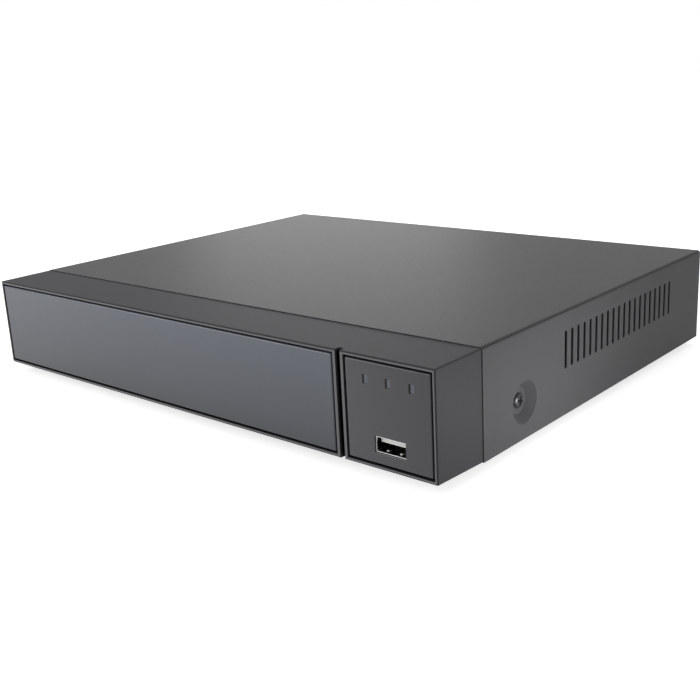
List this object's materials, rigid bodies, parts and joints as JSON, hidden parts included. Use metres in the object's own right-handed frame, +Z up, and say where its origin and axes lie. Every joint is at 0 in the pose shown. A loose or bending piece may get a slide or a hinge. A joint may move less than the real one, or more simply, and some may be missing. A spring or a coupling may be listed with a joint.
{
  "type": "video recorder",
  "caption": "Compact security video recorder in a folded steel case with a moulded front bezel, glossy front plates, side vents and rear sockets.",
  "frame": {"origin": "middle of the outline, on the plane that the four rubber feet stand on", "axes": "+Z up, +X to the right of someone facing the front bezel (along the longest side), +Y to the back; the front faces -Y"},
  "size_m": [0.255, 0.2214, 0.045],
  "materials": {
    "cover_paint": "fine satin charcoal powder coat",
    "tray_steel": "fine satin charcoal powder coat",
    "bezel_plastic": "satin moulded plastic",
    "gloss_plate": "glossy plate",
    "light_guide_clear": "smoky clear plastic",
    "lamp": "moulded lamp body",
    "board_green": "solder-masked glass fibre",
    "tinned_steel": "tinned shell",
    "white_plastic": "moulded insulator",
    "gold_contact": "gold-plated contact",
    "black_screw": "blackened steel",
    "zinc_screw": "zinc-plated steel",
    "foot_rubber": "soft rubber",
    "cast_aluminium": "cast and machined",
    "bare_aluminium": "rolled sheet",
    "mirror_platter": "polished disc",
    "magnet_steel": "plated yoke",
    "black_plastic": "moulded black plastic",
    "chip_black": "moulded package",
    "ferrite": "pressed ferrite",
    "can_sleeve": "aluminium can",
    "anodised_black": "black anodised",
    "nickel": "nickel plating",
    "blue_plastic": "moulded plastic",
    "cable_red": "cable sheath",
    "cable_black": "cable sheath",
    "cable_grey": "cable sheath"
  },
  "bodies": {
    "case": {"front_bezel": "bezel_plastic", "left_front_plate": "gloss_plate", "indicator_plate": "gloss_plate", "light_guide": "light_guide_clear", "indicator_lamps": "lamp", "front_board": "board_green", "usb_shells": "tinned_steel", "usb_insulators": "white_plastic", "usb_contacts": "gold_contact", "top_cover": "cover_paint", "cover_side_screws": "black_screw", "cover_rear_screws": "black_screw", "base_tray": "tray_steel", "rubber_feet": "foot_rubber", "disk_base_casting": "cast_aluminium", "disk_lid": "bare_aluminium", "disk_circuit_board": "board_green", "disk_connector": "black_plastic", "disk_magnet_yoke": "magnet_steel", "main_board": "board_green", "processor": "chip_black", "heat_sink": "anodised_black", "memory_chips": "chip_black", "power_inductors": "ferrite", "electrolytic_capacitors": "can_sleeve", "alarm_buzzer": "black_plastic", "clock_cell_holder": "black_plastic", "clock_cell": "nickel", "board_headers": "white_plastic", "bnc_blocks": "black_plastic", "bnc_barrels": "nickel", "bnc_insulators": "white_plastic", "bnc_contacts": "gold_contact", "audio_jack_block": "black_plastic", "audio_jack_sleeves": "nickel", "audio_jack_insulators": "white_plastic", "monitor_socket_block": "tinned_steel", "monitor_socket_shroud": "nickel", "monitor_socket_insert": "blue_plastic", "monitor_jack_screws": "nickel", "hdmi_shell": "tinned_steel", "hdmi_tongue": "black_plastic", "network_socket": "tinned_steel", "network_contacts": "gold_contact", "power_jack": "black_plastic", "power_jack_pin": "nickel", "fan_frame": "black_plastic", "fan_bracket": "tinned_steel", "fan_screws": "zinc_screw", "inner_screws": "zinc_screw", "disk_screws": "zinc_screw", "cable_plugs": "black_plastic", "drive_data_cable": "cable_red", "drive_power_cable": "cable_black", "front_panel_cable": "cable_grey", "fan_lead": "cable_black"},
    "platters": {"disk_platters": "mirror_platter"},
    "head_arm": {"disk_arm": "bare_aluminium"},
    "fan_wheel": {"fan_rotor": "black_plastic"}
  },
  "joints": [
    {"name": "platter_spin", "type": "hinge", "parent": "case", "child": "platters", "pos_m": [-0.0665, -0.02895, 0.025], "axis": [0, 0, 1], "continuous": true},
    {"name": "head_arm_swing", "type": "hinge", "parent": "case", "child": "head_arm", "pos_m": [-0.0125, -0.04695, 0.025], "axis": [0, 0, 1], "range_deg": [0, 31]},
    {"name": "fan_spin", "type": "hinge", "parent": "case", "child": "fan_wheel", "pos_m": [0.119, -0.01275, 0.028], "axis": [1, 0, 0], "continuous": true}
  ]
}
